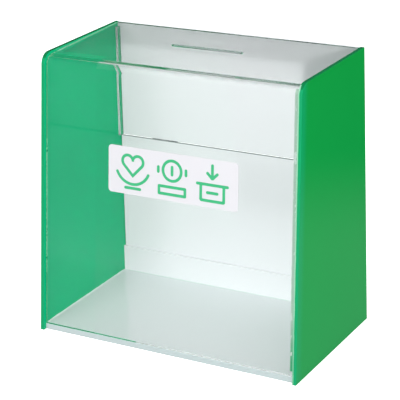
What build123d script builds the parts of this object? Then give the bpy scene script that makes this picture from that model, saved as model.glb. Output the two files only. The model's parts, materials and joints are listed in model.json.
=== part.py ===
from build123d import *
import math
import os

# Acrylic donation box: two side panels, a bent clear cover with a slot, and a hinged back door.
# Millimetres. Front faces -Y, +X is to the right, +Z is up.
# The origin is the middle of the footprint on the resting plane.

# overall size
width = 300.0            # across both side panels
height = 300.0           # side panels, bottom to top
depth_bottom = 180.0     # side panel at its foot
depth_top = 154.0        # side panel at its top, so the front edge leans back
y_rear = depth_bottom / 2
y_foot = -depth_bottom / 2
y_brow = y_rear - depth_top

# sheet thicknesses
side_t = 4.5
base_t = 6.0
clear_t = 4.0
back_t = 3.0

inner_half = width / 2 - side_t   # middle to the inner face of a side panel
y_back_inner = y_rear - back_t    # inner face of the back sheets

# clear cover: one sheet, front and top, bent along the brow
cover_inset_foot = 4.0   # set back behind the side panels at the foot
cover_inset_brow = 3.0   # and at the brow
cover_inset_top = 3.0    # set down below the side panels' top edges at the brow
cover_inset_rear = 0.2   # and at the rear, where the top has risen almost flush

# gap between the upper back panel and the door, also the height of the hinge pins
gap_z = 168.0
gap_half = 0.75
upper_foot = gap_z + gap_half
door_top = gap_z - gap_half

# gap between the back sheets and the sill
sill_gap = 0.2


def cover_y(z):
    """Outer face of the clear front at height z."""
    foot = y_foot + cover_inset_foot
    brow = y_brow + cover_inset_brow
    return foot + (brow - foot) * z / height


lean = math.atan2(cover_y(height) - cover_y(0), height)

# The top rises slightly towards the rear: brow corner low, rear end almost flush.
brow_z = height - cover_inset_top
rear_z = height - cover_inset_rear
rise = (rear_z - brow_z) / (y_back_inner - cover_y(brow_z))
pitch = math.atan(rise)


def top_z(y):
    """Outer face of the clear top at depth y."""
    return brow_z + (y - cover_y(brow_z)) * rise


def save(made, label):
    """Label a finished part and write its STEP file."""
    made.part.label = label
    export_step(made.part, "parts/" + label + ".step")


# Inside a profile drawn on a YZ plane, the sketch's own X runs along Y and its own Y along Z.

# ---------------------------------------------------------------- base panel
base_chamfer = 0.3


def build_base_panel():
    with BuildPart() as panel:
        with BuildSketch(Plane.YZ.offset(-inner_half)):
            with BuildLine():
                Polyline(
                    (cover_y(0), 0),
                    (cover_y(base_t), base_t),
                    (y_rear, base_t),
                    (y_rear, 0),
                    close=True,
                )
            make_face()
        extrude(amount=2 * inner_half)
        front_edges = panel.edges().filter_by(Axis.X).sort_by(Axis.Y)[:2]
        chamfer(front_edges, base_chamfer)
    save(panel, "base_panel")


# --------------------------------------------------------------- side panels
side_corner_r = 13.0     # rounded front-top corner
side_edge_r = 0.35       # flame-polished edges


def build_side_panel(side, x_start):
    with BuildPart() as panel:
        with BuildSketch(Plane.YZ.offset(x_start)) as profile:
            with BuildLine():
                Polyline(
                    (y_foot, 0),
                    (y_brow, height),
                    (y_rear, height),
                    (y_rear, 0),
                    close=True,
                )
            make_face()
            brow = profile.vertices().group_by(Axis.Y)[-1].sort_by(Axis.X)[0]
            fillet(brow, radius=side_corner_r)
        extrude(amount=side_t)
        faces = panel.faces().sort_by(Axis.X)
        fillet(faces[0].edges() + faces[-1].edges(), radius=side_edge_r)
    save(panel, side + "_side_panel")


# --------------------------------------------------------------- clear cover
bend_r_out = 11.0
bend_r_in = bend_r_out - clear_t
slot_length = 84.0
slot_width = 5.0
slot_y = 25.0            # slot centre line
slot_rim_r = 0.4
cut_margin = 1.0         # the slot cutter overshoots the sheet on both faces


def front_corner(profile, z):
    """The corner of the cover profile at height z, ahead of the middle."""
    return [v for v in profile.vertices() if abs(v.Y - z) < 0.01 and v.X < 0][0]


def build_clear_cover():
    # sheet thickness measured along Y through the front, and along Z through the top
    run_in = clear_t / math.cos(lean)
    drop_in = clear_t / math.cos(pitch)
    # where the inner faces of front and top meet
    inner_brow_z = (top_z(cover_y(0) + run_in) - drop_in) / (1 - rise * math.tan(lean))
    inner_brow_y = cover_y(inner_brow_z) + run_in

    with BuildPart() as cover:
        with BuildSketch(Plane.YZ.offset(-inner_half)) as profile:
            with BuildLine():
                Polyline(
                    (cover_y(base_t), base_t),
                    (cover_y(brow_z), brow_z),
                    (y_back_inner, rear_z),
                    (y_back_inner, rear_z - drop_in),
                    (inner_brow_y, inner_brow_z),
                    (cover_y(base_t) + run_in, base_t),
                    close=True,
                )
            make_face()
            fillet(front_corner(profile, brow_z), radius=bend_r_out)
            fillet(front_corner(profile, inner_brow_z), radius=bend_r_in)
        extrude(amount=2 * inner_half)
        slot_plane = Plane(
            origin=(0, slot_y, top_z(slot_y) + cut_margin),
            x_dir=(1, 0, 0),
            z_dir=(0, -math.sin(pitch), math.cos(pitch)),
        )
        with BuildSketch(slot_plane):
            SlotOverall(slot_length, slot_width)
        extrude(amount=-(clear_t + 2 * cut_margin), mode=Mode.SUBTRACT)
        # the upward face with a hole in it is the outer face of the top
        top_faces = [f for f in cover.faces() if f.inner_wires() and f.normal_at().Z > 0.9]
        fillet(top_faces[0].inner_wires()[0].edges(), radius=slot_rim_r)
    save(cover, "clear_cover")


# ------------------------------------------------------ back panel and door
back_chamfer = 0.25
door_side_gap = 0.6
door_foot = base_t + 0.8  # the door clears the base panel
notch_w = 7.0
notch_top = 30.0
notch_corner_r = 1.5


def build_back_upper_panel():
    with BuildPart() as panel:
        with BuildSketch(Plane.XY.offset(upper_foot)):
            with Locations((0, y_rear - back_t / 2)):
                Rectangle(2 * inner_half, back_t)
        extrude(amount=height - upper_foot)
        chamfer(panel.edges().filter_by(Axis.X), back_chamfer)
    save(panel, "back_upper_panel")


def build_door_panel():
    """The door; a notch in its foot lets the lock staple through."""
    with BuildPart() as door:
        with BuildSketch(Plane.XZ.offset(-y_back_inner)) as profile:
            with Locations((0, (door_top + door_foot) / 2)):
                Rectangle(2 * (inner_half - door_side_gap), door_top - door_foot)
            with Locations((0, (notch_top + door_foot) / 2)):
                Rectangle(notch_w, notch_top - door_foot, mode=Mode.SUBTRACT)
            notch_corners = [v for v in profile.vertices() if abs(v.Y - notch_top) < 0.01]
            fillet(notch_corners, radius=notch_corner_r)
        extrude(amount=-back_t)
        top_edges = door.edges().filter_by(Axis.X).group_by(Axis.Z)[-1]
        chamfer(top_edges, back_chamfer)
    save(door, "door_panel")


# ---------------------------------------------------------- sill and battens
sill_t = 3.0
sill_top = 35.0
sill_chamfer = 0.3
batten_x = 3.0
batten_y = 6.0
batten_top = 292.0       # the battens stop short of the top
batten_chamfer = 0.2


def build_door_sill():
    with BuildPart() as sill:
        with BuildSketch(Plane.XY.offset(base_t)):
            with Locations((0, y_back_inner - sill_gap - sill_t / 2)):
                Rectangle(2 * inner_half, sill_t)
        extrude(amount=sill_top - base_t)
        crest = sill.edges().filter_by(Axis.X).group_by(Axis.Z)[-1]
        chamfer(crest, sill_chamfer)
    save(sill, "door_sill")


def build_corner_batten(side, x_mid):
    """Upright strip in the corner between a side panel and the upper back panel."""
    with BuildPart() as batten:
        with BuildSketch(Plane.XY.offset(upper_foot)):
            with Locations((x_mid, y_back_inner - batten_y / 2)):
                Rectangle(batten_x, batten_y)
        extrude(amount=batten_top - upper_foot)
        front_edges = batten.edges().filter_by(Axis.Z).sort_by(Axis.Y)[:2]
        chamfer(front_edges, batten_chamfer)
    save(batten, side + "_corner_batten")


# -------------------------------------------------------------------- hinges
# Each hinge: a fixed leaf with two end knuckles above, a door leaf with one
# middle knuckle below, and a headed pin through all three.
hinge_x = 92.0           # centre of each hinge from the middle
hinge_w = 30.0
leaf_t = 3.0
leaf_reach = 20.0        # leaf plate end, from the pin axis
leaf_corner_r = 2.5
knuckle_r = 3.25
knuckle_clear = 4.2      # plate starts this far from the axis beside the other leaf's knuckle
barrel_half = 5.0        # half length of the middle knuckle's space
barrel_gap = 0.1         # each knuckle stops this far short of the shared boundary
pin_r = 1.5
pin_bore_fixed = 1.51
pin_bore_door = 1.55
pin_y = y_rear + 3.75
pin_head_r = 2.4
pin_head_t = 1.0
pin_head_fillet = 0.7
pin_tail = 0.8           # tip stands out beyond the end knuckle
pin_tip_chamfer = 0.3
fixed_end = gap_z + leaf_reach
door_end = gap_z - leaf_reach


def plate_section(z_start, z_end):
    """Add a leaf plate's section to the current sketch."""
    with Locations((y_rear + leaf_t / 2, (z_start + z_end) / 2)):
        Rectangle(leaf_t, abs(z_end - z_start))


def knuckle_section(z_end, bore_r):
    """Add a bored knuckle and its plate to the current sketch."""
    with Locations((pin_y, gap_z)):
        Circle(knuckle_r)
    plate_section(gap_z, z_end)
    with Locations((pin_y, gap_z)):
        Circle(bore_r, mode=Mode.SUBTRACT)


def end_corners(leaf, z_end):
    """Corner edges at the far end of a leaf, along Y."""
    return [e for e in leaf.edges().filter_by(Axis.Y) if abs(e.center().Z - z_end) < 0.01]


def build_fixed_leaf(side, x_mid):
    with BuildPart() as leaf:
        for x_start in (x_mid - hinge_w / 2, x_mid + barrel_half + barrel_gap):
            with BuildSketch(Plane.YZ.offset(x_start)):
                knuckle_section(fixed_end, pin_bore_fixed)
            extrude(amount=hinge_w / 2 - barrel_half - barrel_gap)
        with BuildSketch(Plane.YZ.offset(x_mid - barrel_half - barrel_gap)):
            plate_section(gap_z + knuckle_clear, fixed_end)
        extrude(amount=2 * (barrel_half + barrel_gap))
        fillet(end_corners(leaf, fixed_end), radius=leaf_corner_r)
    save(leaf, "hinge_fixed_leaf_" + side)


def build_door_leaf(side, x_mid):
    with BuildPart() as leaf:
        with BuildSketch(Plane.YZ.offset(x_mid - barrel_half + barrel_gap)):
            knuckle_section(door_end, pin_bore_door)
        extrude(amount=2 * (barrel_half - barrel_gap))
        with BuildSketch(Plane.YZ.offset(x_mid - hinge_w / 2)):
            plate_section(gap_z - knuckle_clear, door_end)
        extrude(amount=hinge_w)
        fillet(end_corners(leaf, door_end), radius=leaf_corner_r)
    save(leaf, "hinge_door_leaf_" + side)


def build_hinge_pin(side, x_mid):
    """Pin with its head at the left end."""
    x_start = x_mid - hinge_w / 2
    with BuildPart() as pin:
        with BuildSketch(Plane.YZ.offset(x_start)):
            with Locations((pin_y, gap_z)):
                Circle(pin_r)
        extrude(amount=hinge_w + pin_tail)
        with BuildSketch(Plane.YZ.offset(x_start - pin_head_t)):
            with Locations((pin_y, gap_z)):
                Circle(pin_head_r)
        extrude(amount=pin_head_t)
        head_rim = pin.edges().filter_by(GeomType.CIRCLE).sort_by(Axis.X)[0]
        fillet(head_rim, radius=pin_head_fillet)
        tip_rim = pin.edges().filter_by(GeomType.CIRCLE).sort_by(Axis.X)[-1]
        chamfer(tip_rim, pin_tip_chamfer)
    save(pin, "hinge_pin_" + side)


# --------------------------------------------------------------- lock staple
staple_t = 5.0
staple_start = y_back_inner - sill_gap   # against the sill
staple_end = y_rear + 13.0
staple_top = 26.0
staple_corner_r = 5.0
eye_r = 3.5
eye_y = y_rear + 5.5
eye_z = 15.0


def build_lock_staple():
    with BuildPart() as staple:
        with BuildSketch(Plane.YZ.offset(-staple_t / 2)) as profile:
            with Locations(((staple_start + staple_end) / 2, (base_t + staple_top) / 2)):
                Rectangle(staple_end - staple_start, staple_top - base_t)
            outer_corners = profile.vertices().group_by(Axis.X)[-1]
            fillet(outer_corners, radius=staple_corner_r)
            with Locations((eye_y, eye_z)):
                Circle(eye_r, mode=Mode.SUBTRACT)
        extrude(amount=staple_t)
    save(staple, "lock_staple")


# ----------------------------------------------------------------- door pull
pull_z = 52.0
pull_r = 8.0
pull_neck_r = 4.5
pull_foot_r = 6.0
# distances out from the door's rear face
pull_foot_t = 1.5
pull_neck_out = 4.5
pull_grip_start = 8.0    # the neck has flared to full radius
pull_grip_end = 10.2     # the domed end begins
pull_length = 12.0


def build_door_pull():
    """A turned knob: half its outline, revolved about its own axis along Y."""
    with BuildPart() as pull:
        with BuildSketch(Plane.YZ):
            with BuildLine():
                foot = Polyline(
                    (y_rear, pull_z),
                    (y_rear, pull_z + pull_foot_r),
                    (y_rear + pull_foot_t, pull_z + pull_foot_r),
                )
                neck = Spline(
                    foot @ 1,
                    (y_rear + pull_neck_out, pull_z + pull_neck_r),
                    (y_rear + pull_grip_start, pull_z + pull_r),
                    tangents=((0.6, -1), (1, 0.35)),
                )
                grip = Line(neck @ 1, (y_rear + pull_grip_end, pull_z + pull_r))
                dome = Spline(
                    grip @ 1,
                    (y_rear + pull_length, pull_z),
                    tangents=((1, 0), (0, -1)),
                )
                Line(dome @ 1, foot @ 0)
            make_face()
        revolve(axis=Axis((0, 0, pull_z), (0, 1, 0)))
    save(pull, "door_pull")


# --------------------------------------------------------------- label plate
label_w = 150.0
label_h = 50.0
label_t = 0.5
label_r = 4.0
label_x = 7.0            # label centre, right of the middle
label_z = 188.0

# On the outer face of the clear front; sketch X to the right, sketch Y up the slope.
label_plane = Plane(
    origin=(label_x, cover_y(label_z), label_z),
    x_dir=(1, 0, 0),
    z_dir=(0, -math.cos(lean), math.sin(lean)),
)


def build_label_plate():
    with BuildPart() as plate:
        with BuildSketch(label_plane):
            RectangleRounded(label_w, label_h, label_r)
        extrude(amount=label_t)
    save(plate, "label_plate")


# --------------------------------------------------------------- label print
# Printed marks: a heart over a cupped hand, a coin over a slot, an arrow into a box.
# Places are measured from the label centre.
print_t = 0.2
stroke = 3.0
mark_foot_y = -18.2      # lowest line of the hand and slot marks

heart_x, heart_y = -46.0, 3.5
# heart lobes and tip, from the heart's own centre
lobe_x, lobe_y, lobe_r = 6.0, 6.5, 6.2
tip_y = -8.5
# slope of the straight flank that touches the lobe
flank = math.atan2(lobe_y - tip_y, lobe_x) - math.asin(
    lobe_r / math.hypot(lobe_x, lobe_y - tip_y)
)
palm_y, palm_r = 6.0, 20.0
palm_start, palm_sweep = 204, 132   # degrees
cuff_length = 17.0

coin_x, coin_y, coin_r = 0.0, 6.5, 12.0
coin_bar = 8.0
tick_x, tick_length = 16.0, 5.0
lip_y, lip_length = -10.5, 30.0
lip_end_x, lip_end_y, lip_end_length = 15.0, -14.3, 7.0

box_x, box_w, box_h = 46.0, 29.0, 19.6
box_y = -box_h / 2       # the box's top edge is level with the label centre
box_r_out, box_r_in = 2.5, 1.0
box_bar = 11.0
lid_x, lid_length = 12.5, 9.0
shaft_y, shaft_length = 12.0, 13.0
barb_x, barb_y, barb_length = 3.0, 7.6, 7.0


def bars(length, *centres, rotation=0):
    """Add a round-ended stroke at each centre to the current sketch."""
    with Locations(*centres):
        SlotCenterToCenter(length, stroke, rotation=rotation)


def heart(grow, mode):
    """A heart about (heart_x, heart_y), grown outwards from its centre line."""
    radius = lobe_r + grow
    side_x = lobe_x + radius * math.sin(flank)
    side_y = lobe_y - radius * math.cos(flank)
    with Locations((heart_x, heart_y)):
        Polygon(
            (0, tip_y - grow / math.cos(flank)),
            (side_x, side_y),
            (lobe_x, lobe_y),
            (-lobe_x, lobe_y),
            (-side_x, side_y),
            align=None,
            mode=mode,
        )
    with Locations(
        (heart_x - lobe_x, heart_y + lobe_y), (heart_x + lobe_x, heart_y + lobe_y)
    ):
        Circle(radius, mode=mode)


def coin_over_slot():
    """A coin with a centre bar and two side ticks, over a slot between two lips."""
    with Locations((coin_x, coin_y)):
        Circle(coin_r)
        Circle(coin_r - stroke, mode=Mode.SUBTRACT)
    bars(coin_bar, (coin_x, coin_y), rotation=90)
    bars(tick_length, (coin_x - tick_x, coin_y), (coin_x + tick_x, coin_y), rotation=90)
    bars(lip_length, (coin_x, lip_y), (coin_x, mark_foot_y))
    bars(
        lip_end_length,
        (coin_x - lip_end_x, lip_end_y),
        (coin_x + lip_end_x, lip_end_y),
        rotation=90,
    )


def arrow_into_box():
    """An arrow pointing down into a lidded box."""
    bars(shaft_length, (box_x, shaft_y), rotation=90)
    bars(barb_length, (box_x - barb_x, barb_y), rotation=-45)
    bars(barb_length, (box_x + barb_x, barb_y), rotation=45)
    bars(lid_length, (box_x - lid_x, -stroke / 2), (box_x + lid_x, -stroke / 2))
    with Locations((box_x, box_y)):
        RectangleRounded(box_w, box_h, box_r_out)
        RectangleRounded(
            box_w - 2 * stroke, box_h - 2 * stroke, box_r_in, mode=Mode.SUBTRACT
        )
    bars(box_bar, (box_x, box_y))


def build_label_print():
    with BuildPart() as marks:
        with BuildSketch(label_plane.offset(label_t)):
            heart(stroke / 2, Mode.ADD)
            heart(-stroke / 2, Mode.SUBTRACT)
            # cupped hand: a bowl line with turned-up round ends, and a cuff line under it
            with BuildLine():
                palm = CenterArc((heart_x, palm_y), palm_r, palm_start, palm_sweep)
            trace(line_width=stroke)
            for spot in (palm @ 0, palm @ 1):
                with Locations((spot.X, spot.Y)):
                    Circle(stroke / 2)
            bars(cuff_length, (heart_x, mark_foot_y))
            coin_over_slot()
            arrow_into_box()
        extrude(amount=print_t)
    save(marks, "label_print")


# ----------------------------------------------------------------- build all
os.makedirs("parts", exist_ok=True)

build_base_panel()
build_side_panel("left", -width / 2)
build_side_panel("right", inner_half)
build_clear_cover()
build_back_upper_panel()
build_door_panel()
build_door_sill()
for side, sign in (("left", -1), ("right", 1)):
    build_corner_batten(side, sign * (inner_half - batten_x / 2))
    build_fixed_leaf(side, sign * hinge_x)
    build_door_leaf(side, sign * hinge_x)
    build_hinge_pin(side, sign * hinge_x)
build_lock_staple()
build_door_pull()
build_label_plate()
build_label_print()
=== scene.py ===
import json
import math
import random

import bmesh
import bpy
from mathutils import Matrix, Vector, noise

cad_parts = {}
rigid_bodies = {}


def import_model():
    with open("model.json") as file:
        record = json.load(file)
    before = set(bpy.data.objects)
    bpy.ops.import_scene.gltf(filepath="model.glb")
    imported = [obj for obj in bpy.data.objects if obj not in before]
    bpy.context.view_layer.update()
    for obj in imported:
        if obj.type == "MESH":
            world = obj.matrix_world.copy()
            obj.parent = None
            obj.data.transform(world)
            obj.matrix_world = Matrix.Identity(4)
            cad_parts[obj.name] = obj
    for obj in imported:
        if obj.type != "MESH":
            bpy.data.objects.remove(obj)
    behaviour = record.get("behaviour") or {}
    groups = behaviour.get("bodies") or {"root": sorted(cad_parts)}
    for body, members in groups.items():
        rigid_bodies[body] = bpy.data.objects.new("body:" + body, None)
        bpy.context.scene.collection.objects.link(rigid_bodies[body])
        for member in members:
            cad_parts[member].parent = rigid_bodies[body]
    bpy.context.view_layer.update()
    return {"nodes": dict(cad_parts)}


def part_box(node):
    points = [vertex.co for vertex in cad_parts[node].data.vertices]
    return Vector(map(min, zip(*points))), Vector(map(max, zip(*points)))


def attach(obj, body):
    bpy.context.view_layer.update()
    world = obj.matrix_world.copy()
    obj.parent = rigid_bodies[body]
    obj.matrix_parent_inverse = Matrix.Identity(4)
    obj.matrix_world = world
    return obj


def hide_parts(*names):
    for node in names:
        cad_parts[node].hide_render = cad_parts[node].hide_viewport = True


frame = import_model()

scene = bpy.context.scene
nodes = frame["nodes"]
rng = random.Random(20)
MM = 0.001
IOR = 1.49


# ------------------------------------------------------------------ small helpers
def lin(r, g, b):
    """sRGB 0-255 to linear."""
    out = []
    for c in (r, g, b):
        c /= 255.0
        out.append(c / 12.92 if c <= 0.04045 else ((c + 0.055) / 1.055) ** 2.4)
    return (*out, 1.0)


class Graph:
    """A little node-tree writer."""

    def __init__(self, name):
        self.mat = bpy.data.materials.new(name)
        self.mat.use_nodes = True
        self.tree = self.mat.node_tree
        self.tree.nodes.clear()
        self.out = self.tree.nodes.new("ShaderNodeOutputMaterial")

    def node(self, kind, inputs=None, **props):
        n = self.tree.nodes.new(kind)
        for k, v in props.items():
            setattr(n, k, v)
        for k, v in (inputs or {}).items():
            self.put(n.inputs[k], v)
        return n

    def put(self, socket, value):
        if isinstance(value, bpy.types.NodeSocket):
            self.tree.links.new(value, socket)
        else:
            socket.default_value = value

    def math(self, op, a, b=0.0, clamp=False):
        n = self.node("ShaderNodeMath", operation=op, use_clamp=clamp)
        self.put(n.inputs[0], a)
        self.put(n.inputs[1], b)
        return n.outputs[0]

    def mix_color(self, fac, a, b, blend="MIX"):
        n = self.node("ShaderNodeMix", data_type="RGBA", blend_type=blend)
        self.put(n.inputs[0], fac)
        self.put(n.inputs[6], a)
        self.put(n.inputs[7], b)
        return n.outputs[2]

    def mix_shader(self, fac, a, b):
        n = self.node("ShaderNodeMixShader")
        self.put(n.inputs[0], fac)
        self.put(n.inputs[1], a)
        self.put(n.inputs[2], b)
        return n.outputs[0]

    def ramp(self, fac, stops, interpolation="EASE"):
        n = self.node("ShaderNodeValToRGB")
        n.color_ramp.interpolation = interpolation
        while len(n.color_ramp.elements) < len(stops):
            n.color_ramp.elements.new(0.5)
        for e, (pos, col) in zip(n.color_ramp.elements, stops):
            e.position = pos
            e.color = col if len(col) == 4 else (*col, 1)
        self.put(n.inputs[0], fac)
        return n.outputs[0]

    def noise(self, scale, detail=3.0, rough=0.5, vector=None, stretch=None):
        vec = vector or self.node("ShaderNodeTexCoord").outputs["Object"]
        if stretch:
            m = self.node("ShaderNodeMapping", {"Vector": vec})
            m.inputs["Scale"].default_value = stretch
            vec = m.outputs[0]
        n = self.node(
            "ShaderNodeTexNoise",
            {"Vector": vec, "Scale": scale, "Detail": detail, "Roughness": rough},
        )
        return n.outputs["Fac"]

    def finish(self, shader):
        self.tree.links.new(shader, self.out.inputs["Surface"])
        return self.mat


def gray(v):
    return (v, v, v, 1.0)


def set_material(obj, mat):
    obj.data.materials.clear()
    obj.data.materials.append(mat)
    for p in obj.data.polygons:
        p.material_index = 0


def new_object(name, bm, mat, body="box", smooth=None):
    mesh = bpy.data.meshes.new(name)
    if smooth is not None:
        smooth_by_angle(bm, smooth)
    bm.to_mesh(mesh)
    bm.free()
    obj = bpy.data.objects.new(name, mesh)
    scene.collection.objects.link(obj)
    mesh.materials.append(mat)
    if body:
        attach(obj, body)
    return obj


def smooth_by_angle(bm, degrees):
    limit = math.radians(degrees)
    bm.normal_update()
    for f in bm.faces:
        f.smooth = True
    for e in bm.edges:
        if len(e.link_faces) == 2:
            e.smooth = e.calc_face_angle(0.0) < limit
        else:
            e.smooth = False


# ------------------------------------------------------------------ where things are
side_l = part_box("left_side_panel")
side_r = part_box("right_side_panel")
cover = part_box("clear_cover")
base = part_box("base_panel")
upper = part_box("back_upper_panel")
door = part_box("door_panel")
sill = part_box("door_sill")
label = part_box("label_plate")

x_in = side_r[0].x                      # inner faces at +-x_in
z_floor = base[1].z
z_top = cover[1].z
y_end = cover[1].y                      # rear end of the top sheet
T = 0.004                               # clear sheet
y_foot_out = cover[0].y                 # outer face of the front at its foot
# foot, brow and rear end of the cover, read off the CAD sheet
cover_front = [v.co.copy() for v in nodes["clear_cover"].data.vertices]
foot = min((c for c in cover_front if c.z < z_floor + 1e-5), key=lambda c: c.y)
brow_pt = min((c for c in cover_front if c.z > 0.28), key=lambda c: c.y)
fore_pt = max((c for c in cover_front if c.y < -0.045), key=lambda c: c.z)
rear_pt = max((c for c in cover_front if c.y > y_end - 1e-4), key=lambda c: c.z)
slope = (brow_pt.y - foot.y) / (brow_pt.z - foot.z)
rise = (rear_pt.z - fore_pt.z) / (rear_pt.y - fore_pt.y)
lean, pitch = math.atan(slope), math.atan(rise)


def front_y(z):
    """Outer face of the clear front."""
    return foot.y + slope * (z - foot.z)


def top_z(y):
    """Outer face of the clear top."""
    return rear_pt.z + rise * (y - rear_pt.y)


# ------------------------------------------------------------------ materials
def acrylic_surface(g, base_color, rough=(0.03, 0.09), wave=0.12, extra_normal=None, spec=0.5,
                    fine=0.0, sss=0.0, coat=0.0):
    """Cast acrylic: gloss with faint handling haze, and a very slow wave in the surface."""
    tex = g.node("ShaderNodeTexCoord").outputs["Object"]
    haze = g.noise(9.0, 4.0, 0.6, vector=tex)
    smear = g.noise(22.0, 3.0, 0.55, vector=tex, stretch=(0.35, 0.35, 1.6))
    r = g.math("ADD", g.math("MULTIPLY", haze, 0.6), g.math("MULTIPLY", smear, 0.4))
    r = g.node("ShaderNodeMapRange", {"Value": r, "From Min": 0.35, "From Max": 0.65,
                                      "To Min": rough[0], "To Max": rough[1]}).outputs[0]
    slow = g.noise(14.0, 1.0, 0.4, vector=tex)
    bump = g.node("ShaderNodeBump", {"Height": slow, "Strength": wave, "Distance": 0.0006})
    normal = bump.outputs[0]
    if fine:
        grit = g.noise(900.0, 2.0, 0.5, vector=tex)
        b2 = g.node("ShaderNodeBump", {"Height": grit, "Strength": fine, "Distance": 0.00004,
                                       "Normal": normal})
        normal = b2.outputs[0]
    p = g.node("ShaderNodeBsdfPrincipled", {
        "Base Color": base_color, "Roughness": r, "IOR": IOR, "Normal": normal,
        "Specular IOR Level": spec, "Coat Weight": coat, "Coat Roughness": 0.03,
    })
    if sss:
        p.inputs["Subsurface Weight"].default_value = sss
        p.inputs["Subsurface Radius"].default_value = (0.004, 0.004, 0.004)
        p.inputs["Subsurface Scale"].default_value = 1.0
    return p


def masks(g):
    geo = g.node("ShaderNodeNewGeometry")
    nrm = g.node("ShaderNodeSeparateXYZ", {0: geo.outputs["Normal"]})
    tex = g.node("ShaderNodeTexCoord").outputs["Object"]
    pos = g.node("ShaderNodeSeparateXYZ", {0: tex})
    return geo, nrm.outputs, pos.outputs, tex


def green_material(name, inner_sign, painted_lit_inner, painted_outer_shades, edge):
    """Opaque green acrylic. inner_sign is the sign of X that points into the box."""
    g = Graph(name)
    geo, nrm, pos, tex = masks(g)
    inward = g.math("GREATER_THAN", g.math("MULTIPLY", nrm[0], inner_sign), 0.5)
    outward = g.math("GREATER_THAN", g.math("MULTIPLY", nrm[0], -inner_sign), 0.5)
    # distance behind the leaning front edge, metres
    back = g.math("SUBTRACT", pos[1], g.math("ADD", -0.09, g.math("MULTIPLY", pos[2], 0.026 / 0.3)))
    near = g.node("ShaderNodeMapRange", {"Value": back, "From Min": 0.003, "From Max": 0.016,
                                         "To Min": 1.0, "To Max": 0.0},
                  interpolation_type="SMOOTHSTEP").outputs[0]
    low = g.node("ShaderNodeMapRange", {"Value": pos[2], "From Min": 0.02, "From Max": 0.30,
                                        "To Min": 1.0, "To Max": 0.0}).outputs[0]
    # painted light and shade: the outer face takes a different green near the front edge and towards the
    # bottom, for how light falls on it
    out_col = g.mix_color(near, painted_outer_shades[0], painted_outer_shades[1])
    out_col = g.mix_color(g.math("MULTIPLY", low, 0.5), out_col, painted_outer_shades[2])
    # painted light and shade: the inner face is a brighter green than the outer face, and upward faces a
    # darker one, for the light each gets
    col = g.mix_color(inward, edge, painted_lit_inner)
    col = g.mix_color(outward, col, out_col)
    col = g.mix_color(g.math("GREATER_THAN", nrm[2], 0.6), col, (0.006, 0.19, 0.065, 1))
    cloud = g.noise(5.0, 3.0, 0.5, vector=tex)
    col = g.mix_color(g.math("MULTIPLY", cloud, 0.10), col, lin(30, 150, 84))
    if inner_sign < 0:
        # painted highlight: a pale green strip on the inner margin of the right panel's front edge,
        # brighter higher up, stands in for the glint on the polished edge
        smear = g.noise(300.0, 2.0, 0.6, vector=tex, stretch=(1.0, 1.0, 0.25))
        reach = g.math("ADD", 0.0009, g.math("MULTIPLY", smear, 0.0010))
        margin = g.math("LESS_THAN", pos[0], g.math("ADD", x_in, reach))
        front = g.math("LESS_THAN", nrm[1], -0.5)
        up = g.node("ShaderNodeMapRange", {"Value": pos[2], "From Min": 0.01, "From Max": 0.09,
                                           "To Min": 0.55, "To Max": 0.92}).outputs[0]
        edge_glint_mask = g.math("MULTIPLY", g.math("MULTIPLY", margin, front), up)
        col = g.mix_color(edge_glint_mask, col, (0.34, 0.66, 0.47, 1))
    # what the walls throw onto the white parts is held back
    path = g.node("ShaderNodeLightPath")
    col = g.mix_color(g.math("MULTIPLY", path.outputs["Is Diffuse Ray"], 0.66), col, gray(0.36))
    p = acrylic_surface(g, col, rough=(0.02, 0.055), wave=0.10, spec=0.36)
    p.inputs["Specular Tint"].default_value = (0.12, 0.80, 0.90, 1)
    return g.finish(p.outputs[0])


def white_material(name, color, tint_edge, rough=(0.05, 0.11), front_edge_shade=None):
    """Milky white acrylic: slightly cloudy; the front-edge colour, when given, darkens the front-facing
    edge as painted shade.
    """
    g = Graph(name)
    geo, nrm, pos, tex = masks(g)
    cloud = g.noise(7.0, 3.0, 0.5, vector=tex)
    col = g.mix_color(g.math("MULTIPLY", cloud, 0.18), color, tint_edge)
    speck = g.noise(420.0, 1.0, 0.5, vector=tex)
    speck = g.math("GREATER_THAN", speck, 0.79)
    col = g.mix_color(g.math("MULTIPLY", speck, 0.15), col, gray(0.45))
    if front_edge_shade:
        col = g.mix_color(g.math("LESS_THAN", nrm[1], -0.6), col, front_edge_shade)
    # painted shade: the two faces that meet across the back are darkened, as little light gets between
    # them
    near_gap = g.math("LESS_THAN", g.math("ABSOLUTE", g.math("SUBTRACT", pos[2], 0.168)), 0.0011)
    flat = g.math("GREATER_THAN", g.math("ABSOLUTE", nrm[2]), 0.35)
    behind = g.math("GREATER_THAN", pos[1], 0.08)
    gap_shade = g.math("MULTIPLY", g.math("MULTIPLY", near_gap, flat), behind)
    col = g.mix_color(gap_shade, col, (0.33, 0.375, 0.375, 1))
    p = acrylic_surface(g, col, rough=rough, wave=0.10, sss=0.08)
    return g.finish(p.outputs[0])


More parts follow.
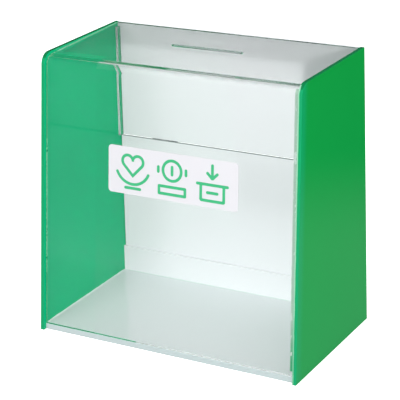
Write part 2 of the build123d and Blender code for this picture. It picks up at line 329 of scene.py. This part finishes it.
def clear_material(name, tint=(0.985, 0.997, 0.992), wave=0.02, gloss=0.10,
                   pipe=(0.988, 0.992, 0.990), sheet=False):
    """Clear acrylic. Light reaches what is inside it as through a window: shadow and
    diffuse rays pass straight, losing what two faces reflect. What the eye follows is
    refracted truly; the outer faces mirror a dim room."""
    g = Graph(name)
    geo, nrm, pos, tex = masks(g)
    path = g.node("ShaderNodeLightPath")
    slow = g.noise(16.0, 1.0, 0.4, vector=tex)
    bump = g.node("ShaderNodeBump", {"Height": slow, "Strength": wave, "Distance": 0.0004})
    # light piped along the sheet pales towards green, and ends in the side walls' cement
    piped = g.math("GREATER_THAN", path.outputs["Glossy Depth"], 0.5)
    along = g.mix_color(piped, (*tint, 1.0), (*pipe, 1.0))
    if sheet:
        end_face = g.math("GREATER_THAN", g.math("ABSOLUTE", nrm[0]), 0.9)
        along = g.mix_color(end_face, along, (0.60, 0.94, 0.80, 1.0))
        # painted shade: the rear end stands close against the back panel, so the glass there is tinted
        # darker
        rear_shade = g.math("MULTIPLY", g.math("GREATER_THAN", pos[1], y_end - 0.0008),
                      g.math("LESS_THAN", path.outputs["Glossy Depth"], 5.5))
        along = g.mix_color(rear_shade, along, (0.36, 0.44, 0.41, 1.0))
        by_wall = g.math("MULTIPLY", g.math("LESS_THAN", pos[0], -0.087),
                         g.math("LESS_THAN", pos[1], -0.035))
    inside = g.node("ShaderNodeBsdfGlass", {
        "Color": along, "Roughness": 0.0, "IOR": IOR, "Normal": bump.outputs[0]})
    within = inside.outputs[0]
    if sheet:
        # painted light: piped rays that reach the end faces, or the sheet along the left wall, meet a
        # fixed green glow standing in for the lit green wall behind the cement
        wall_glow = g.node("ShaderNodeEmission", {"Color": (0.018, 0.36, 0.16, 1), "Strength": 1.0})
        within = g.mix_shader(g.math("MULTIPLY", piped, g.math("MAXIMUM", end_face, by_wall)),
                              inside.outputs[0], wall_glow.outputs[0])
    fres = g.node("ShaderNodeFresnel", {"IOR": IOR, "Normal": bump.outputs[0]})
    enter = g.mix_color(fres.outputs[0], (*tint, 1.0), (1.5, 1.5, 1.5, 1.0))
    refract = g.node("ShaderNodeBsdfRefraction", {
        "Color": enter, "Roughness": 0.0, "IOR": IOR, "Normal": bump.outputs[0]})
    mirror = g.node("ShaderNodeBsdfGlossy", {
        "Color": (1, 1, 1, 1), "Roughness": gloss * 0.2, "Normal": bump.outputs[0]})
    outside = g.mix_shader(g.math("MULTIPLY", fres.outputs[0], 0.5), refract.outputs[0],
                           mirror.outputs[0])
    eye = g.mix_shader(geo.outputs["Backfacing"], outside, within)
    flat = g.node("ShaderNodeFresnel", {"IOR": IOR})
    keep = g.math("POWER", g.math("SUBTRACT", 1.0, flat.outputs[0]), 2.0)
    keep = g.math("MAXIMUM", keep, geo.outputs["Backfacing"])
    lit = g.node("ShaderNodeCombineColor", {0: keep, 1: keep, 2: keep}).outputs[0]
    passing = g.node("ShaderNodeBsdfTransparent", {"Color": lit})
    straight = g.math("MAXIMUM", path.outputs["Is Shadow Ray"], path.outputs["Is Diffuse Ray"])
    return g.finish(g.mix_shader(straight, eye, passing.outputs[0]))


GREEN_EDGE = (0.012, 0.32, 0.13, 1)
mat_green_l = green_material(
    "green_acrylic_left", 1.0, (0.002, 0.485, 0.205, 1),
    ((0.004, 0.345, 0.055, 1), (0.006, 0.375, 0.13, 1), (0.004, 0.355, 0.078, 1)), GREEN_EDGE)
mat_green_r = green_material(
    "green_acrylic_right", -1.0, (0.002, 0.485, 0.205, 1),
    ((0.004, 0.345, 0.055, 1), (0.006, 0.375, 0.13, 1), (0.004, 0.355, 0.078, 1)), GREEN_EDGE)
mat_white = white_material("white_acrylic_milky", (0.905, 0.905, 0.93, 1), (0.85, 0.86, 0.88, 1))
mat_base = white_material("white_acrylic_floor", (0.84, 0.875, 0.885, 1), (0.79, 0.83, 0.84, 1),
                          rough=(0.03, 0.07), front_edge_shade=(0.50, 0.58, 0.58, 1))
mat_clear = clear_material("clear_acrylic_sheet", sheet=True)
mat_clear_bar = clear_material("clear_acrylic_bar", tint=(0.97, 0.995, 0.985), wave=0.05)


def steel_material():
    g = Graph("drawn_steel")
    geo, nrm, pos, tex = masks(g)
    brush = g.noise(1400.0, 2.0, 0.6, vector=tex, stretch=(0.03, 1, 1))
    col = g.ramp(brush, [(0.3, gray(0.42)), (0.7, gray(0.62))])
    bump = g.node("ShaderNodeBump", {"Height": brush, "Strength": 0.2, "Distance": 0.00005})
    p = g.node("ShaderNodeBsdfPrincipled", {"Base Color": col, "Metallic": 1.0,
                                            "Roughness": 0.28, "Normal": bump.outputs[0]})
    return g.finish(p.outputs[0])


def film_material():
    """Satin white label film with a faint tooth and a faint mottle."""
    g = Graph("label_film")
    geo, nrm, pos, tex = masks(g)
    tooth = g.noise(1300.0, 2.0, 0.5, vector=tex)
    mottle = g.noise(60.0, 3.0, 0.5, vector=tex)
    col = g.mix_color(g.math("MULTIPLY", mottle, 0.25), lin(216, 215, 219), lin(211, 211, 216))
    bump = g.node("ShaderNodeBump", {"Height": tooth, "Strength": 0.12, "Distance": 0.00003})
    p = g.node("ShaderNodeBsdfPrincipled", {"Base Color": col, "Roughness": 0.38,
                                            "IOR": 1.45, "Normal": bump.outputs[0]})
    return g.finish(p.outputs[0])


def ink_material():
    g = Graph("label_ink")
    geo, nrm, pos, tex = masks(g)
    cover_noise = g.noise(260.0, 3.0, 0.6, vector=tex)
    col = g.mix_color(cover_noise, lin(54, 174, 116), lin(68, 184, 130))
    grain = g.noise(2200.0, 1.0, 0.5, vector=tex)
    bump = g.node("ShaderNodeBump", {"Height": grain, "Strength": 0.15, "Distance": 0.00003})
    p = g.node("ShaderNodeBsdfPrincipled", {"Base Color": col, "Roughness": 0.42,
                                            "IOR": 1.45, "Normal": bump.outputs[0]})
    return g.finish(p.outputs[0])


mat_steel = steel_material()
mat_film = film_material()
mat_ink = ink_material()

for name, mat in (
    ("left_side_panel", mat_green_l), ("right_side_panel", mat_green_r),
    ("base_panel", mat_base), ("back_upper_panel", mat_white), ("door_panel", mat_white),
    ("door_sill", mat_white), ("left_corner_batten", mat_clear_bar),
    ("right_corner_batten", mat_clear_bar),
    ("hinge_fixed_leaf_left", mat_clear_bar), ("hinge_fixed_leaf_right", mat_clear_bar),
    ("hinge_door_leaf_left", mat_clear_bar), ("hinge_door_leaf_right", mat_clear_bar),
    ("hinge_pin_left", mat_steel), ("hinge_pin_right", mat_steel),
    ("lock_staple", mat_clear_bar), ("door_pull", mat_clear_bar),
    ("label_plate", mat_film), ("label_print", mat_ink),
):
    set_material(nodes[name], mat)

# ------------------------------------------------------------------ clear sheet
GAP = 0.00005          # hair of air between the sheet's ends and the side panels
R_OUT, R_IN = 0.011, 0.007


def sheet_profile():
    """Outer and inner outlines of the bent sheet in (y, z), foot to rear end, paired."""
    n_front = Vector((-math.cos(lean), math.sin(lean)))     # outward, (y, z)
    n_top = Vector((-math.sin(pitch), math.cos(pitch)))
    centre = Vector((fore_pt.y, fore_pt.z)) - n_top * R_OUT
    start, end = centre + n_front * R_OUT, centre + n_top * R_OUT
    start_i, end_i = centre + n_front * R_IN, centre + n_top * R_IN
    run = T / math.cos(lean)
    foot_o = Vector((foot.y, foot.z + GAP))
    foot_i = Vector((foot.y + run, foot.z + GAP))
    rear_o = Vector((rear_pt.y - GAP, rear_pt.z))
    rear_i = Vector((rear_pt.y - GAP, rear_pt.z - T / math.cos(pitch)))
    up = (start - foot_o).normalized()
    along = (rear_o - end).normalized()
    outer, inner = [foot_o, foot_o + up * 0.0004], [foot_i, foot_i + up * 0.0004]
    rows = 40
    for i in range(1, rows):
        t = i / rows
        outer.append(foot_o.lerp(start, t))
        inner.append(foot_i.lerp(start_i, t))
    outer.append(start - up * 0.0003)
    inner.append(start_i - up * 0.0003)
    a0, a1 = math.pi - lean, math.pi / 2 + pitch
    steps = 56
    for i in range(steps + 1):
        a = a0 + (a1 - a0) * i / steps
        d = Vector((math.cos(a), math.sin(a)))
        outer.append(centre + d * R_OUT)
        inner.append(centre + d * R_IN)
    outer.append(end + along * 0.0003)
    inner.append(end_i + along * 0.0003)
    for i in range(1, 24):
        t = i / 24
        outer.append((end + along * 0.0003).lerp(rear_o - along * 0.0004, t))
        inner.append((end_i + along * 0.0003).lerp(rear_i - along * 0.0004, t))
    outer.append(rear_o)
    inner.append(rear_i)
    return outer, inner, centre


outer, inner, bend_c = sheet_profile()
xs = [-x_in + GAP]
cols = 48
for i in range(1, cols):
    xs.append(-x_in + 2 * x_in * i / cols)
xs.append(x_in - GAP)


def wobble(x, p):
    """Heat left in the bend makes the sheet a hair uneven there, and nowhere else."""
    d = (Vector(p) - bend_c).length
    k = math.exp(-((d - 0.0065) / 0.012) ** 2)
    return 0.00006 * k * (noise.noise(Vector((x * 28.0, p[0] * 30.0, 3.1))) )


bm = bmesh.new()
grid_o, grid_i = [], []
for x in xs:
    col_o, col_i = [], []
    for po, pi in zip(outer, inner):
        w = wobble(x, po)
        n = (po - pi).normalized()
        a, b = po + n * min(w, 0), pi + n * (-abs(w))
        col_o.append(bm.verts.new((x, a.x, a.y)))
        col_i.append(bm.verts.new((x, b.x, b.y)))
    grid_o.append(col_o)
    grid_i.append(col_i)
m = len(outer)
for i in range(len(xs) - 1):
    for j in range(m - 1):
        bm.faces.new((grid_o[i][j], grid_o[i + 1][j], grid_o[i + 1][j + 1], grid_o[i][j + 1]))
        bm.faces.new((grid_i[i][j], grid_i[i][j + 1], grid_i[i + 1][j + 1], grid_i[i + 1][j]))
    bm.faces.new((grid_o[i][0], grid_i[i][0], grid_i[i + 1][0], grid_o[i + 1][0]))
    bm.faces.new((grid_o[i][-1], grid_o[i + 1][-1], grid_i[i + 1][-1], grid_i[i][-1]))
for i in (0, len(xs) - 1):
    for j in range(m - 1):
        quad = (grid_o[i][j], grid_o[i][j + 1], grid_i[i][j + 1], grid_i[i][j])
        bm.faces.new(quad if i == 0 else quad[::-1])
bmesh.ops.recalc_face_normals(bm, faces=bm.faces)
sheet_mesh = bpy.data.meshes.new("clear_sheet_blank")
bm.to_mesh(sheet_mesh)
bm.free()
blank = bpy.data.objects.new("clear_sheet_blank", sheet_mesh)
scene.collection.objects.link(blank)

# the coin slot: a round-ended cutter
slot_co = [v.co for v in nodes["clear_cover"].data.vertices
           if abs(v.co.x) < 0.06 and -0.03 < v.co.y < 0.07
           and v.co.z < top_z(v.co.y) - T + 2e-4]
SL_X = max(abs(c.x) for c in slot_co)
SL_Y0, SL_Y1 = min(c.y for c in slot_co), max(c.y for c in slot_co)
slot_y = (SL_Y0 + SL_Y1) / 2
slot_r = (SL_Y1 - SL_Y0) / 2
slot_o = Vector((0, slot_y, top_z(slot_y)))
slot_u = Vector((0, math.cos(pitch), math.sin(pitch)))
slot_n = Vector((0, -math.sin(pitch), math.cos(pitch)))
cut = bmesh.new()
ring_spec = [(-0.002, 0.0), (T - 0.0004, 0.0), (T - 0.00018, 0.00006), (T - 0.00006, 0.00018),
             (T + 0.0000, 0.0004), (T + 0.002, 0.0024)]
rings = []
for dz, grow in ring_spec:
    ring = []
    for side in (1, -1):
        for k in range(0, 25):
            a = -math.pi / 2 + math.pi * k / 24
            ring.append(cut.verts.new(
                slot_o + slot_u * (side * math.sin(a) * (slot_r + grow))
                + slot_n * (dz - T)
                + Vector((side * ((SL_X - slot_r) + math.cos(a) * (slot_r + grow)), 0, 0))))
    rings.append(ring)
for a, b in zip(rings, rings[1:]):
    n = len(a)
    for k in range(n):
        cut.faces.new((a[k], a[(k + 1) % n], b[(k + 1) % n], b[k]))
cut.faces.new(rings[0][::-1])
cut.faces.new(rings[-1])
bmesh.ops.recalc_face_normals(cut, faces=cut.faces)
cut_mesh = bpy.data.meshes.new("slot_cutter")
cut.to_mesh(cut_mesh)
cut.free()
cutter = bpy.data.objects.new("slot_cutter", cut_mesh)
scene.collection.objects.link(cutter)
mod = blank.modifiers.new("slot", "BOOLEAN")
mod.operation = "DIFFERENCE"
mod.solver = "EXACT"
mod.object = cutter
dg = bpy.context.evaluated_depsgraph_get()
done = bpy.data.meshes.new_from_object(blank.evaluated_get(dg))
bm = bmesh.new()
bm.from_mesh(done)
bmesh.ops.remove_doubles(bm, verts=bm.verts, dist=1e-7)
bmesh.ops.dissolve_degenerate(bm, dist=1e-7, edges=bm.edges)
bpy.data.objects.remove(blank)
bpy.data.objects.remove(cutter)
clear_sheet = new_object("clear_sheet", bm, mat_clear, smooth=24)
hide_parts("clear_cover")


# the other clear parts again as closed meshes drawn in by a hair, so that air shows
# where they only touch, and with their small edges eased
def eased(name, mat, inset=0.00003):
    bm = bmesh.new()
    bm.from_mesh(nodes[name].data)
    bmesh.ops.remove_doubles(bm, verts=bm.verts, dist=1e-6)
    bmesh.ops.recalc_face_normals(bm, faces=bm.faces)
    flat = [e for e in bm.edges if len(e.link_faces) == 2 and e.calc_face_angle(0.0) < 0.01]
    bmesh.ops.dissolve_edges(bm, edges=flat, use_verts=False)
    sharp = [e for e in bm.edges if len(e.link_faces) == 2 and e.calc_face_angle(0.0) > 0.9]
    bmesh.ops.bevel(bm, geom=sharp, offset=0.00012, segments=2, profile=0.6, affect="EDGES",
                    clamp_overlap=True)
    bm.normal_update()
    moves = [(v, v.normal.copy()) for v in bm.verts]
    for v, n in moves:
        v.co -= n * inset
    bmesh.ops.triangulate(bm, faces=[f for f in bm.faces if len(f.verts) > 4])
    obj = new_object(name + "_eased", bm, mat, body=None, smooth=35)
    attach(obj, BODY_OF[name])
    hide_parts(name)
    return obj


BODY_OF = {n: "box" for n in ("left_corner_batten", "right_corner_batten",
                              "hinge_fixed_leaf_left", "hinge_fixed_leaf_right", "lock_staple")}
BODY_OF.update({n: "door" for n in ("hinge_door_leaf_left", "hinge_door_leaf_right", "door_pull")})
for clear_name in BODY_OF:
    eased(clear_name, mat_clear_bar)


# ------------------------------------------------------------------ cement joints
def cement_material(name, color, rough=0.15, bright=0.0):
    g = Graph(name)
    tex = g.node("ShaderNodeTexCoord").outputs["Object"]
    n = g.noise(700.0, 3.0, 0.6, vector=tex)
    col = g.mix_color(g.math("MULTIPLY", n, 0.4), color, gray(0.9))
    bump = g.node("ShaderNodeBump", {"Height": n, "Strength": 0.5, "Distance": 0.0001})
    p = g.node("ShaderNodeBsdfPrincipled", {"Base Color": col, "Roughness": rough,
                                            "IOR": 1.47, "Normal": bump.outputs[0]})
    # painted light: a nonzero bright makes the cement glow; no call here passes one
    if bright:
        p.inputs["Emission Color"].default_value = (0.9, 1.0, 0.97, 1)
        p.inputs["Emission Strength"].default_value = bright
    return g.finish(p.outputs[0])


mat_wet = cement_material("cement_wetted_green", lin(40, 172, 108))


def run_material():
    """Cement crept along the front's inner face: pale high up, wetted green low down."""
    g = Graph("cement_run")
    geo, nrm, pos, tex = masks(g)
    n = g.noise(260.0, 3.0, 0.6, vector=tex, stretch=(1.0, 1.0, 0.35))
    high = g.node("ShaderNodeMapRange", {
        "Value": g.math("ADD", pos[2], g.math("MULTIPLY", n, 0.03)),
        "From Min": 0.03, "From Max": 0.085}, interpolation_type="SMOOTHSTEP").outputs[0]
    col = g.mix_color(high, (0.045, 0.36, 0.17, 1), (0.40, 0.56, 0.46, 1))
    col = g.mix_color(g.math("GREATER_THAN", n, 0.62), col, (0.62, 0.72, 0.67, 1))
    margin = g.math("LESS_THAN", pos[0], x_in - 0.0050)
    col = g.mix_color(g.math("MULTIPLY", margin, 0.6), col, (0.66, 0.74, 0.69, 1))
    p = g.node("ShaderNodeBsdfPrincipled", {"Base Color": col, "Roughness": 0.2, "IOR": 1.47})
    return g.finish(p.outputs[0])


mat_run = run_material()
mat_bead = cement_material("cement_bead", lin(214, 232, 226), rough=0.12)


def path_points():
    """Stations along the middle of the sheet, foot to rear end, with length so far."""
    out, s = [], 0.0
    prev = None
    for po, pi in zip(outer, inner):
        mid = (po + pi) / 2
        if prev is not None:
            s += (mid - prev).length
        prev = mid
        out.append((s, po.copy(), pi.copy()))
    return out


stations = path_points()
total = stations[-1][0]
bend_s = [s for s, po, pi in stations if (po - bend_c).length < R_OUT + 1e-6 and po.y > bend_c.y - 1e-4]
bend_from, bend_to = min(bend_s), max(bend_s)


def at(s):
    for (s0, o0, i0), (s1, o1, i1) in zip(stations, stations[1:]):
        if s0 <= s <= s1 and s1 > s0:
            t = (s - s0) / (s1 - s0)
            return o0.lerp(o1, t), i0.lerp(i1, t)
    return stations[-1][1], stations[-1][2]


def wetted(side, s, v):
    """Whether the cement has wetted the joint at length s, v across the sheet 0..1."""
    seed = 5.0 if side < 0 else 11.0
    n = noise.noise(Vector((s * 420.0, v * 2.2, seed))) * 0.7 + noise.noise(
        Vector((s * 1300.0, v * 4.0, seed + 3))) * 0.45
    z_share = s / bend_from
    if side < 0:
        if s < bend_from:
            # dry at the foot and towards the brow, bubbly through the middle
            dry = 0.62 if (z_share < 0.20 or z_share > 0.72) else -0.02
            if 0.20 < z_share < 0.26 or 0.66 < z_share < 0.72:
                dry = 0.2
            edge = 0.16 if (v < 0.22 or v > 0.9) else 0.0
        elif s < bend_to:
            dry, edge = 0.35, 0.0
        else:
            dry, edge = (0.12 if s < bend_to + 0.035 else -0.12), 0.1
    else:
        dry = 0.25 if z_share < 0.9 else 0.1
        edge = 0.12 if (v < 0.2 or v > 0.85) else 0.0
    return n - edge > dry - 0.30 if dry < 0.5 else (v < 0.16 or v > 0.84 or n > 0.62)


def cement_joint(name, side):
    """The wetted part of the joint at one end of the clear sheet: patches of cement,
    with the unwetted bubbles left open between them."""
    bm = bmesh.new()
    step = 0.0007
    across = 7
    count = int(total / step)
    cache = {}
    inset = 0.00006

    def vert(i, j):
        key = (i, j)
        if key not in cache:
            o, n_ = at(min(i * step, total))
            v = 0.03 + 0.94 * j / across
            p = o.lerp(n_, v)
            cache[key] = bm.verts.new((side * (x_in - inset - GAP), p.x, p.y))
        return cache[key]

    for i in range(count):
        for j in range(across):
            if wetted(side, (i + 0.5) * step, (j + 0.5) / across):
                bm.faces.new((vert(i, j), vert(i + 1, j), vert(i + 1, j + 1), vert(i, j + 1)))
    # give the film a thickness towards the side panel
    bmesh.ops.recalc_face_normals(bm, faces=bm.faces)
    geom = bmesh.ops.extrude_face_region(bm, geom=list(bm.faces))
    for v in [g for g in geom["geom"] if isinstance(g, bmesh.types.BMVert)]:
        v.co.x = side * (x_in - 0.00002)
    bmesh.ops.recalc_face_normals(bm, faces=bm.faces)
    return new_object(name, bm, mat_wet, smooth=30)


cement_joint("cement_joint_left", -1)
cement_joint("cement_joint_right", 1)


def bead(name, points, radius, up, inward, mat):
    """A small concave-to-round bead of cement run along an inside corner.
    points are corner points, up and inward the two faces' directions."""
    bm = bmesh.new()
    rows = []
    length = 0.0
    dense = []
    for a, b in zip(points, points[1:]):
        n = max(2, int((b - a).length / 0.0015))
        for k in range(n):
            dense.append(a.lerp(b, k / n))
    dense.append(points[-1])
    for k, p in enumerate(dense):
        r = radius * (0.85 + 0.35 * noise.noise(Vector((k * 0.21, radius * 900, 7.7))))
        ring = [bm.verts.new(p)]
        for q in range(6):
            a = math.pi / 2 * q / 5
            # slightly hollow between the two faces
            d = inward * (math.cos(a) * r) + up * (math.sin(a) * r)
            hollow = 1.0 - 0.25 * math.sin(2 * a)
            ring.append(bm.verts.new(p + d * hollow))
        rows.append(ring)
    for a, b in zip(rows, rows[1:]):
        n = len(a)
        for q in range(n):
            bm.faces.new((a[q], a[(q + 1) % n], b[(q + 1) % n], b[q]))
    bm.faces.new(rows[0][::-1])
    bm.faces.new(rows[-1])
    bmesh.ops.recalc_face_normals(bm, faces=bm.faces)
    return new_object(name, bm, mat, smooth=40)


UP, RIGHT, REAR = Vector((0, 0, 1)), Vector((1, 0, 0)), Vector((0, 1, 0))
e = 0.00002
y_in = front_y(z_floor) + T / math.cos(lean)
bead("floor_joint_left", [Vector((-x_in + e, y_in + 0.001, z_floor + e)), Vector((-x_in + e, sill[0].y - 0.001, z_floor + e))],
     0.0011, UP, RIGHT, mat_bead)
bead("floor_joint_right", [Vector((x_in - e, y_in + 0.001, z_floor + e)), Vector((x_in - e, sill[0].y - 0.001, z_floor + e))],
     0.0011, UP, -RIGHT, mat_bead)


def run_of_cement(name, side, width):
    """A thin run of cement that has crept along the inner face of the front from the side
    panel: a film a third of a millimetre thick with an uneven margin."""
    bm = bmesh.new()
    rows = []
    s0 = 0.004
    s1 = bend_from + (bend_to - bend_from) * 0.62
    count = 170
    for k in range(count + 1):
        along_s = s0 + (s1 - s0) * k / count
        po, pi = at(along_s)
        into = (pi - po).normalized()
        p = pi + into * 0.00012
        reach = width * (1.0 + 0.05 * noise.noise(Vector((along_s * 160.0, 2.0, side))))
        row = []
        for q in range(7):
            t = q / 6
            thick = into * (0.00030 * math.sqrt(max(0.0, 1.0 - t ** 4)) + 0.00002)
            x = side * (x_in - e - reach * t)
            row.append((bm.verts.new((x, p.x, p.y)),
                        bm.verts.new((x, p.x + thick.x, p.y + thick.y))))
        rows.append(row)
    for a, b in zip(rows, rows[1:]):
        for q in range(6):
            bm.faces.new((a[q][0], a[q + 1][0], b[q + 1][0], b[q][0]))
            bm.faces.new((a[q][1], b[q][1], b[q + 1][1], a[q + 1][1]))
        bm.faces.new((a[0][0], b[0][0], b[0][1], a[0][1]))
        bm.faces.new((a[6][0], a[6][1], b[6][1], b[6][0]))
    for row in (rows[0], rows[-1]):
        for q in range(6):
            bm.faces.new((row[q][0], row[q][1], row[q + 1][1], row[q + 1][0]))
    bmesh.ops.recalc_face_normals(bm, faces=bm.faces)
    return new_object(name, bm, mat_run, smooth=40)


run_of_cement("front_joint_right", 1, 0.0057)
bead("sill_joint", [Vector((-x_in + 0.0015, sill[0].y - e, z_floor + e)), Vector((x_in - 0.0015, sill[0].y - e, z_floor + e))],
     0.0007, UP, -REAR, mat_bead)

# ------------------------------------------------------------------ stage
FLOOR_MIRROR = 0.28


def reach_the_eye(group, path):
    """1 for rays that come straight from the camera, or through clear sheet without a
    reflection on the way."""
    straight = group.math("LESS_THAN", path.outputs["Glossy Depth"], 0.5)
    undiff = group.math("LESS_THAN", path.outputs["Diffuse Depth"], 0.5)
    through = group.math("MULTIPLY", path.outputs["Is Transmission Ray"],
                         group.math("MULTIPLY", straight, undiff))
    return group.math("MAXIMUM", path.outputs["Is Camera Ray"], through)


def floor_material():
    """Pale paper. The eye sees it clean; in mirror rays it is a glow that fades out a little way from the
    box, a painted reflection of the kind a small sheet on a table gives."""
    g = Graph("stage_floor")
    path = g.node("ShaderNodeLightPath")
    tex = g.node("ShaderNodeTexCoord").outputs["Object"]
    n = g.noise(3.0, 3.0, 0.5, vector=tex)
    col = g.mix_color(n, gray(0.90), gray(0.92))
    diff = g.node("ShaderNodeBsdfDiffuse", {"Color": col})
    glow = g.node("ShaderNodeEmission", {"Color": (1, 1, 1, 1), "Strength": 0.62})
    seen = g.node("ShaderNodeAddShader")
    g.put(seen.inputs[0], diff.outputs[0])
    g.put(seen.inputs[1], glow.outputs[0])
    far = g.node("ShaderNodeVectorMath", {0: tex}, operation="LENGTH").outputs["Value"]
    fade = g.node("ShaderNodeMapRange", {"Value": far, "From Min": 0.35, "From Max": 0.75,
                                         "To Min": FLOOR_MIRROR, "To Max": 0.02},
                  interpolation_type="SMOOTHSTEP").outputs[0]
    dim = g.node("ShaderNodeEmission", {"Color": (1, 1, 1, 1), "Strength": fade})
    dull = g.node("ShaderNodeBsdfDiffuse", {"Color": gray(0.45)})
    mirrored = g.math("GREATER_THAN", path.outputs["Glossy Depth"], 0.5)
    rest = g.mix_shader(mirrored, dull.outputs[0], dim.outputs[0])
    eye = reach_the_eye(g, path)
    return g.finish(g.mix_shader(eye, rest, seen.outputs[0]))


bm = bmesh.new()
bmesh.ops.create_grid(bm, x_segments=8, y_segments=8, size=6.0)
for v in bm.verts:
    v.co.z = -0.0002
floor = new_object("stage_floor", bm, floor_material(), body=None)

class WorldGraph(Graph):
    def __init__(self, name):
        world = bpy.data.worlds.new(name)
        world.use_nodes = True
        scene.world = world
        self.tree = world.node_tree
        self.tree.nodes.clear()
        self.out = self.tree.nodes.new("ShaderNodeOutputWorld")


AMBIENT = 0.85
w = WorldGraph("studio")
w_path = w.node("ShaderNodeLightPath")
w_dir = w.node("ShaderNodeSeparateXYZ", {0: w.node("ShaderNodeTexCoord").outputs["Generated"]})
# a pale backdrop stands behind the box up to a little above eye level; the rest is dim
behind = w.node("ShaderNodeMapRange", {"Value": w_dir.outputs[1], "From Min": 0.1,
                                       "From Max": 0.4}, interpolation_type="SMOOTHSTEP").outputs[0]
under = w.node("ShaderNodeMapRange", {"Value": w_dir.outputs[2], "From Min": 0.30,
                                      "From Max": 0.12}, interpolation_type="SMOOTHSTEP").outputs[0]
pale = w.math("MULTIPLY", behind, under)
steep = w.node("ShaderNodeMapRange", {"Value": w_dir.outputs[2], "From Min": 0.30,
                                      "From Max": 0.42, "To Max": 0.7},
               interpolation_type="SMOOTHSTEP").outputs[0]
pale = w.math("MAXIMUM", pale, steep)
pale = w.math("MAXIMUM", pale, w.math("GREATER_THAN", w_path.outputs["Glossy Depth"], 1.5))
leaving = w.math("MULTIPLY", w_path.outputs["Is Transmission Ray"],
                 w.node("ShaderNodeMapRange", {"Value": pale, "To Min": 0.04, "To Max": 0.85}).outputs[0])
mirror_level = w.math("MAXIMUM", leaving, 0.035)
ambient = w.node("ShaderNodeBackground", {"Color": (0.98, 0.99, 1.0, 1), "Strength": AMBIENT})
mirrored = w.node("ShaderNodeBackground", {"Color": (0.95, 0.99, 1.0, 1), "Strength": mirror_level})
clean = w.node("ShaderNodeBackground", {"Color": (1, 1, 1, 1), "Strength": 1.05})
is_mirror = w.math("MULTIPLY", w.math("GREATER_THAN", w_path.outputs["Glossy Depth"], 0.5),
                   w.math("LESS_THAN", w_path.outputs["Diffuse Depth"], 0.5))
rest = w.mix_shader(is_mirror, ambient.outputs[0], mirrored.outputs[0])
w.tree.links.new(w.mix_shader(reach_the_eye(w, w_path), rest, clean.outputs[0]), w.out.inputs[0])


def area(name, loc, target, size, power, color=(1, 1, 1), glossy=True):
    data = bpy.data.lights.new(name, "AREA")
    data.shape = "RECTANGLE"
    data.size, data.size_y = size
    data.energy = power
    data.color = color
    obj = bpy.data.objects.new(name, data)
    obj.location = loc
    d = Vector(target) - Vector(loc)
    obj.rotation_euler = d.to_track_quat("-Z", "Y").to_euler()
    obj.visible_glossy = glossy
    obj.visible_camera = False
    obj.visible_transmission = False
    scene.collection.objects.link(obj)
    return obj


def polar(az, el, dist, aim=(0, 0, 0.15)):
    a, e_ = math.radians(az), math.radians(el)
    return (aim[0] + dist * math.sin(a) * math.cos(e_), aim[1] - dist * math.cos(a) * math.cos(e_),
            aim[2] + dist * math.sin(e_))


LIGHTS = {
    # name: position, size, power
    "key_right": (polar(25, 11.5, 2.2), (0.12, 0.12), 21.0),
    "key_left": (polar(-20, 19, 2.2), (0.45, 0.35), 5.6),
    "front_soft": (polar(5, 38, 2.4), (1.6, 1.0), 2.6),
    "top_soft": ((0.1, -0.3, 1.9), (1.4, 1.4), 2.6),
    "right_wide": (polar(72, 14, 2.2), (1.0, 0.9), 8.4),
    "rear_soft": (polar(180, 30, 2.2), (1.4, 1.0), 13.0),
}
lamps = {}
for light_name, (spot, light_size, power) in LIGHTS.items():
    lamps[light_name] = area(light_name, spot, (0, 0, 0.15), light_size, power, glossy=False)

# the thin label film lets the low key past, so it leaves no hard shadow on the back
blockers = bpy.data.collections.new("key_blockers")
for obj in list(scene.objects):
    if obj.type == "MESH" and obj.name not in ("label_plate", "label_print"):
        blockers.objects.link(obj)
lamps["key_right"].light_linking.blocker_collection = blockers

# ------------------------------------------------------------------ camera
cam_data = bpy.data.cameras.new("camera")
cam = bpy.data.objects.new("camera", cam_data)
scene.collection.objects.link(cam)
scene.camera = cam
right = Vector((0.849214, 0.526445, -0.04112))
down = Vector((0.070423, -0.190087, -0.979238))
fwd = Vector((-0.523332, 0.828687, -0.198498))
rot = Matrix((right, -down, -fwd)).transposed()
cam.matrix_world = Matrix.Translation(Vector((0.82079, -1.51353, 0.76264))) @ rot.to_4x4()
cam_data.sensor_width = 36.0
cam_data.sensor_fit = "HORIZONTAL"
cam_data.lens = 1710.83 * 36.0 / 400.0


def shift_from_here(attribute, value):
    """The lens is shifted only while the camera stands at its fitted place; moved anywhere
    else it looks straight ahead."""
    setattr(cam_data, attribute, value)
    driver = cam_data.driver_add(attribute).driver
    driver.type = "SCRIPTED"
    var = driver.variables.new()
    var.name, var.type = "x", "TRANSFORMS"
    var.targets[0].id = cam
    var.targets[0].transform_type = "LOC_X"
    var.targets[0].transform_space = "WORLD_SPACE"
    driver.expression = "%.5f if abs(x - 0.82079) < 0.0005 else 0.0" % value


shift_from_here("shift_x", (200 - 81.3) / 400.0)
shift_from_here("shift_y", (-50.43 - 200) / 400.0)
cam_data.clip_start = 0.01
cam_data.clip_end = 50.0

scene.view_settings.view_transform = "Standard"
scene.view_settings.look = "None"
scene.view_settings.exposure = 0.0
scene.view_settings.gamma = 1.0
scene.cycles.max_bounces = 96
scene.cycles.transmission_bounces = 96
scene.cycles.transparent_max_bounces = 24
scene.cycles.glossy_bounces = 96
scene.cycles.diffuse_bounces = 6
scene.cycles.caustics_reflective = False
scene.cycles.caustics_refractive = True
scene.cycles.sample_clamp_indirect = 4.0
scene.cycles.seed = 7
